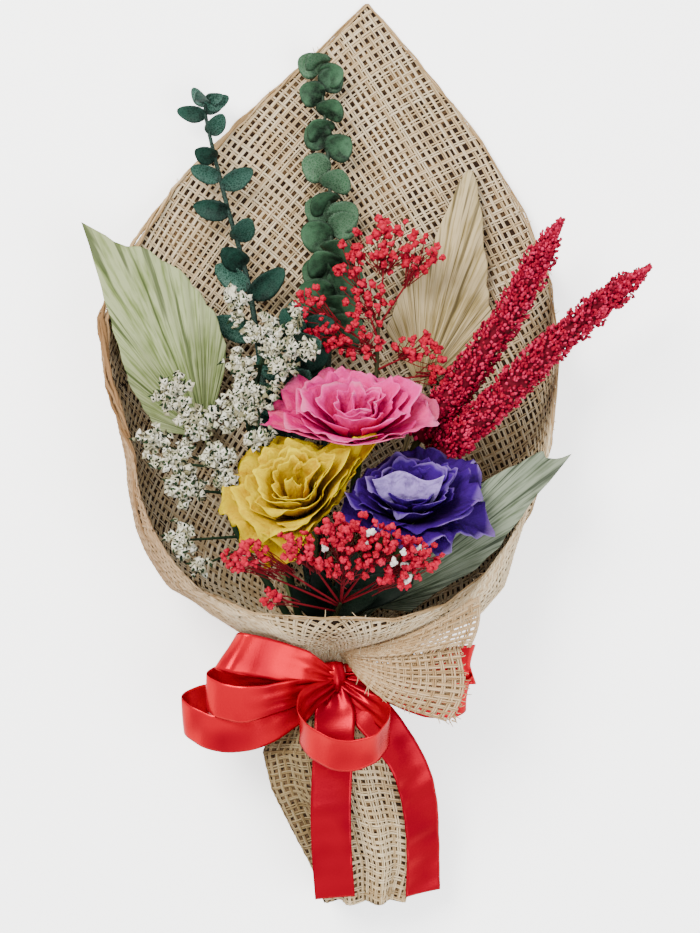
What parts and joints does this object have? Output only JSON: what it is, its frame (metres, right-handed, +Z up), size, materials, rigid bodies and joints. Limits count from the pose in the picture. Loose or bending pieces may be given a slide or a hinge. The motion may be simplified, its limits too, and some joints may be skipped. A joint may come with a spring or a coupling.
{
  "type": "preserved rose bouquet",
  "caption": "Bouquet of preserved roses, palm spears, eucalyptus, statice, gypsophila and amaranth in an open burlap wrap tied with a satin ribbon bow, lying on its back.",
  "frame": {"origin": "middle of the bounding box in X and Y, on the table that the wrap's back sheet lies on", "axes": "+X to the bouquet's right seen from above, +Y from the stem ends to the wrap's point, +Z up from the table, away from the back sheet"},
  "size_m": [0.2757, 0.46, 0.1099],
  "materials": {
    "burlap": "open weave jute, matte",
    "ribbon": "red satin",
    "petal_pink": "preserved petal, soft matte",
    "petal_yellow": "preserved petal, soft matte",
    "petal_purple": "preserved petal, soft matte",
    "stem": "preserved green stem, matte",
    "palm_pale": "dried pale green palm leaf, matte",
    "palm_tan": "dried tan palm leaf, matte",
    "palm_grey": "dried grey green palm leaf, matte",
    "eucalyptus": "preserved leaf with a waxy bloom",
    "statice": "dried white florets, matte",
    "gypsophila": "dyed red florets, matte",
    "amaranth": "dried crimson seed clusters, matte"
  },
  "bodies": {
    "root": {"burlap_wrap": "burlap", "ribbon_band": "ribbon", "ribbon_bow": "ribbon", "rose_bloom_pink": "petal_pink", "rose_bloom_yellow": "petal_yellow", "rose_bloom_purple": "petal_purple", "rose_stem_pink": "stem", "rose_stem_yellow": "stem", "rose_stem_purple": "stem", "foliage_low": "stem", "palm_spear_left": "palm_pale", "palm_spear_upper_right": "palm_tan", "palm_spear_lower_right": "palm_grey", "eucalyptus_left": "eucalyptus", "eucalyptus_centre": "eucalyptus", "eucalyptus_low": "eucalyptus", "statice_upper": "statice", "statice_left": "statice", "gypsophila_upper": "gypsophila", "gypsophila_lower": "gypsophila", "amaranth_upper": "amaranth", "amaranth_lower": "amaranth"}
  },
  "joints": []
}
